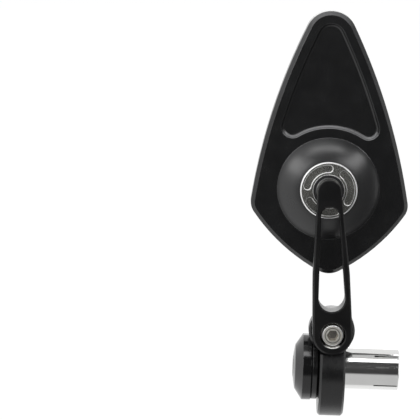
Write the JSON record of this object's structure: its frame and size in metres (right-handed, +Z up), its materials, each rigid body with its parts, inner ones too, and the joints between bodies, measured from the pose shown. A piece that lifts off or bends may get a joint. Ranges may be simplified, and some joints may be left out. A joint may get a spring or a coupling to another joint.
{
  "type": "motorcycle bar end mirror",
  "caption": "Bar end mirror: shield-shaped billet head on a friction ball, slotted folding arm, round collar, end cap and slit expanding sleeve that fixes it in a hollow handlebar.",
  "frame": {"origin": "on the handlebar's axis, in the collar's inboard face", "axes": "+X along the bar towards the handlebar, +Y towards the rider, where the glass faces, +Z up"},
  "size_m": [0.0762, 0.0476, 0.1985],
  "materials": {
    "head_black": "satin black anodised billet, fine brushed grain",
    "glass": "silvered flat mirror glass",
    "pad": "black foam adhesive pad",
    "ring_metal": "dark anodised ring with bright cut edges",
    "liner": "black moulded liner",
    "stud_steel": "polished steel",
    "arm_black": "satin black anodised billet with cut edges",
    "bush_bronze": "plain bronze bush",
    "screw_steel": "stainless screw, turned head",
    "washer_steel": "spring steel",
    "washer_plastic": "pale sliding washer",
    "bracket_black": "satin black anodised collar, turned grain",
    "cap_black": "satin black anodised cap, turned grain",
    "ring_black": "satin black anodised spacer ring",
    "sleeve_bright": "polished sleeve with saw slits",
    "cone_steel": "turned cone nut"
  },
  "bodies": {
    "mount": {"bracket": "bracket_black", "pivot_screw": "screw_steel", "spring_washer": "washer_steel", "friction_washer": "washer_plastic", "end_cap": "cap_black", "spacer_ring": "ring_black", "expander_bolt": "screw_steel", "bolt_washer": "washer_steel", "expander_sleeve": "sleeve_bright", "cone_nut": "cone_steel"},
    "arm": {"arm": "arm_black", "pivot_bush": "bush_bronze"},
    "stud": {"ball_stud": "stud_steel"},
    "liner": {"seat_front": "liner", "seat_rear": "liner"},
    "head": {"mirror_head": "head_black", "mirror_glass": "glass", "adhesive_pad": "pad", "ring_nut": "ring_metal"}
  },
  "joints": [
    {"name": "fold", "type": "hinge", "parent": "mount", "child": "arm", "pos_m": [-0.0071, 0, 0.0202], "axis": [0, 1, 0], "range_deg": [-82, 25]},
    {"name": "spin", "type": "hinge", "parent": "arm", "child": "stud", "pos_m": [-0.01118, -0.007, 0.08888], "axis": [0, 1, 0], "range_deg": [-60, 60]},
    {"name": "tilt", "type": "hinge", "parent": "stud", "child": "liner", "pos_m": [-0.01118, -0.007, 0.08888], "axis": [1, 0, 0], "range_deg": [-10, 10]},
    {"name": "pan", "type": "hinge", "parent": "liner", "child": "head", "pos_m": [-0.01118, -0.007, 0.08888], "axis": [0, 0, 1], "range_deg": [-10, 10]}
  ]
}
